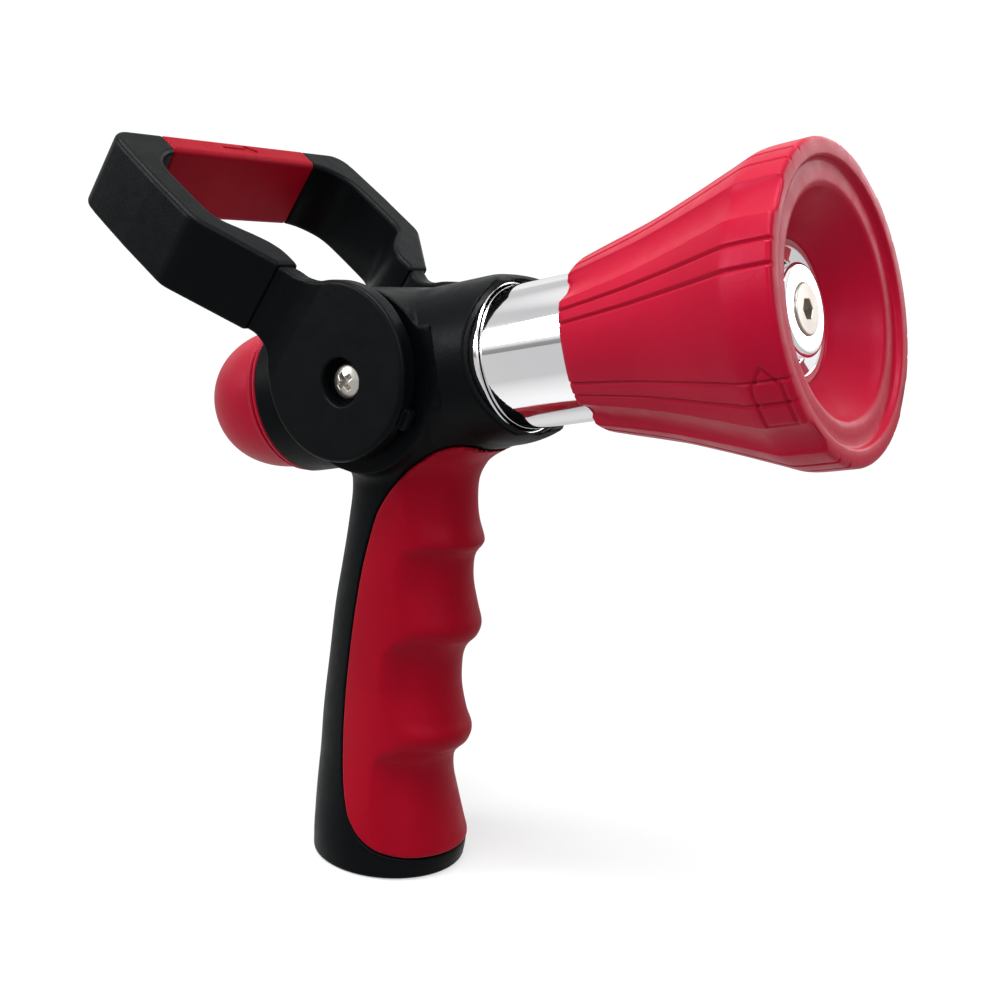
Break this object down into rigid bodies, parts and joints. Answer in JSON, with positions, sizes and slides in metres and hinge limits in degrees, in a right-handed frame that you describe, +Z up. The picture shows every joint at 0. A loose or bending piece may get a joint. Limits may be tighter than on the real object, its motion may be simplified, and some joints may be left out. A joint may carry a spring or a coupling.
{
  "type": "fire hose nozzle",
  "caption": "Pistol-grip hose nozzle with a lever-worked quarter-turn ball valve, twist-to-adjust spray sleeve, soft fluted bell and finger-grooved grip.",
  "frame": {"origin": "centre of the hose mouth in the flat base of the grip", "axes": "+Z up the grip from the base it stands on, +X the way the water leaves (the barrel rises 15 degrees above +X), +Y to the operator's left"},
  "size_m": [0.1895, 0.0824, 0.1795],
  "materials": {
    "cast_alloy": "as cast",
    "black_cover": "fine moulded texture, satin",
    "red_grip": "matte moulded rubber",
    "brass": "machined",
    "black_rubber": "smooth",
    "steel": "satin stainless",
    "chrome": "mirror",
    "red_cap": "matte moulded rubber",
    "white_polymer": "smooth bearing polymer",
    "spindle_alloy": "machined",
    "polished_head": "mirror",
    "black_bail": "fine moulded texture, satin",
    "screw_steel": "bright stainless",
    "ball_brass": "plated and polished",
    "chrome_tube": "bright chrome plated alloy tube, mirror",
    "red_bell": "satin moulded rubber"
  },
  "bodies": {
    "handle": {"valve_body": "cast_alloy", "body_cover": "black_cover", "base_ring": "black_cover", "grip_insert": "red_grip", "hose_coupling": "brass", "hose_washer": "black_rubber", "inlet_screen": "steel", "collar_ring": "chrome", "rear_plug": "cast_alloy", "rear_plug_seal": "black_rubber", "rear_cap": "red_cap", "front_seat": "white_polymer", "rear_seat": "white_polymer", "inlet_seat": "white_polymer", "outlet_spindle": "spindle_alloy", "spindle_seals": "black_rubber", "stem_post": "brass", "stem_head": "polished_head", "stem_screw": "steel"},
    "bail": {"bail_arm_left": "black_bail", "bail_arm_right": "black_bail", "bail_loop": "black_bail", "bail_grip": "red_grip", "pivot_screws": "screw_steel", "thrust_washers": "white_polymer", "ball_stems": "brass", "stem_seals": "black_rubber", "valve_ball": "ball_brass"},
    "follower": {"follower_ring": "white_polymer"},
    "nozzle": {"spray_sleeve": "chrome_tube", "bumper": "red_bell"}
  },
  "joints": [
    {"name": "bail_turn", "type": "hinge", "parent": "handle", "child": "bail", "pos_m": [-0.0056, 0, 0.1191], "axis": [0, 1, 0], "range_deg": [0, 90]},
    {"name": "pattern_slide", "type": "slide", "parent": "handle", "child": "follower", "axis": [0.9659, 0, 0.2588], "range_m": [-0.0019, 0.0051]},
    {"name": "pattern_twist", "type": "hinge", "parent": "follower", "child": "nozzle", "pos_m": [-0.0056, 0, 0.1191], "axis": [0.9659, 0, 0.2588], "range_deg": [-90, 250]}
  ],
  "couplings": [
    {"joint": "pattern_slide", "follows": "pattern_twist", "m_per_rad": 0.0011459}
  ]
}
